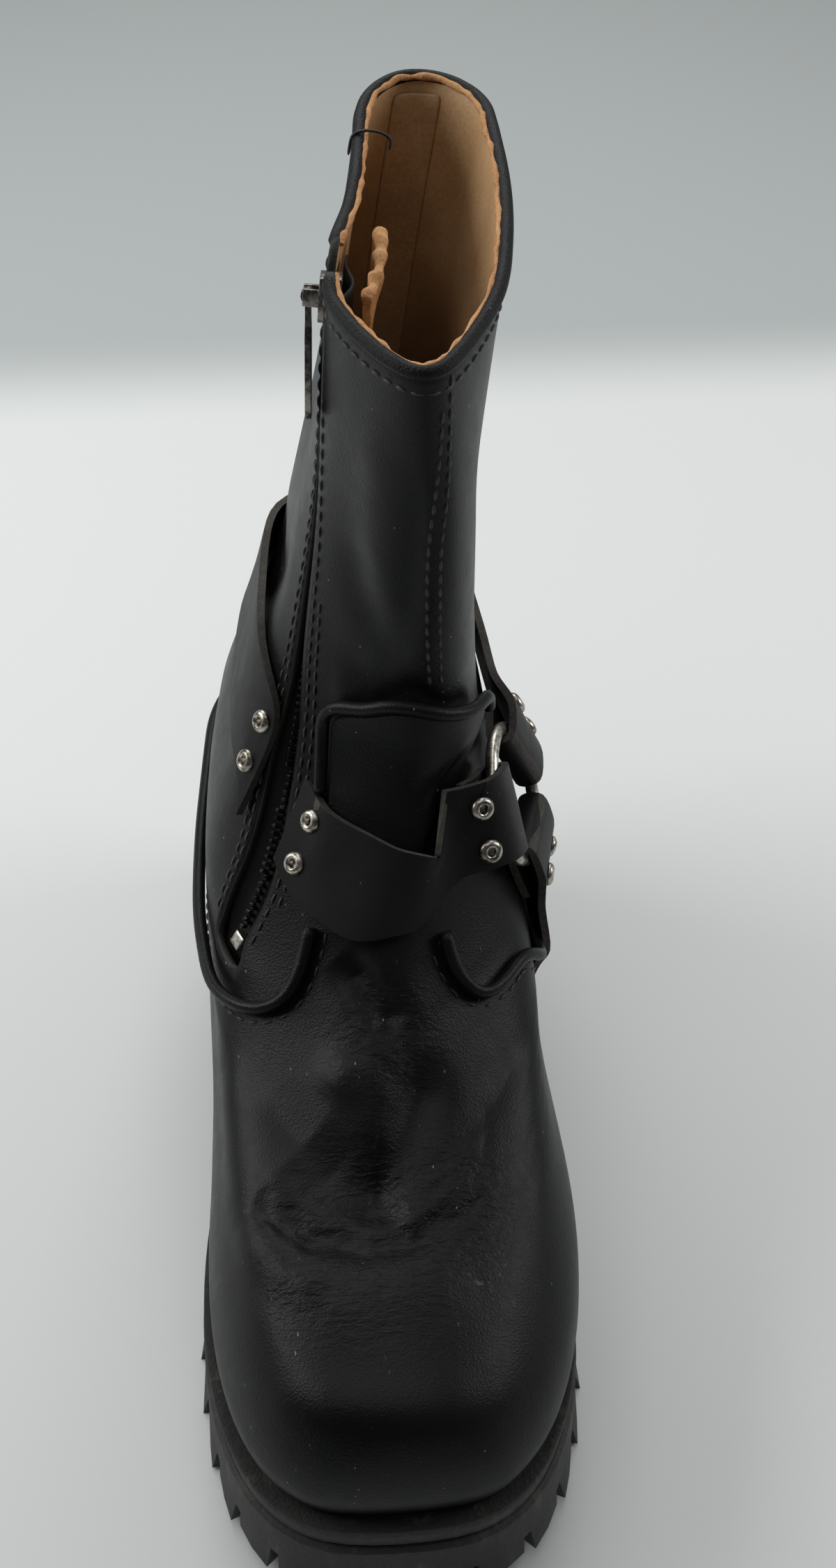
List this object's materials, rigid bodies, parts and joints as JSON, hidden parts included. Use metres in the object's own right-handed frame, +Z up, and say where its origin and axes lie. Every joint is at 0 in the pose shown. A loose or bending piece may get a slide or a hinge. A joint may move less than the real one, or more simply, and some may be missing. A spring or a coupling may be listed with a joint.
{
  "type": "leather harness boot",
  "caption": "Left ankle-high leather boot with a squared toe, a lugged sole, straps joined by a ring and a zip on the inner side.",
  "frame": {"origin": "on the floor, under the middle of the heel's ground face", "axes": "toe towards -Y, lateral side of the left foot towards +X, +Z up"},
  "size_m": [0.1183, 0.3142, 0.3036],
  "materials": {
    "black_leather": "smooth, softly glossy",
    "strap_leather": "smooth, softly glossy",
    "tan_leather": "matte lining leather",
    "welt_leather": "rough, dark edge",
    "black_rubber": "matte",
    "insole_board": "matte leather board",
    "steel": "nickel plated",
    "dark_steel": "dark nickel plated",
    "cloth": "woven tape"
  },
  "bodies": {
    "boot": {"upper": "black_leather", "tongue_tab": "black_leather", "piping_tab": "black_leather", "piping_vamp": "black_leather", "outsole": "black_rubber", "heel": "black_rubber", "midsole": "black_rubber", "welt": "welt_leather", "insole": "insole_board", "ring": "steel", "strap_front": "strap_leather", "strap_rear": "strap_leather", "strap_lower": "strap_leather", "zip_tape": "cloth", "zip_chain": "dark_steel", "zip_stop": "steel", "zip_slider": "dark_steel", "zip_gusset": "tan_leather", "rivet_front_ring_1": "steel", "rivet_front_ring_2": "steel", "rivet_front_end_1": "steel", "rivet_front_end_2": "steel", "rivet_rear_ring_1": "steel", "rivet_rear_ring_2": "steel", "rivet_rear_end_1": "steel", "rivet_rear_end_2": "steel", "rivet_lower_ring_1": "steel", "rivet_lower_ring_2": "steel"},
    "pull_tab": {"zip_pull": "dark_steel"}
  },
  "joints": [
    {"name": "pull_tab_hinge", "type": "hinge", "parent": "boot", "child": "pull_tab", "pos_m": [-0.00272, -0.04901, 0.28541], "axis": [-0.0611, -0.9777, 0.2009], "range_deg": [-150, 0]}
  ]
}
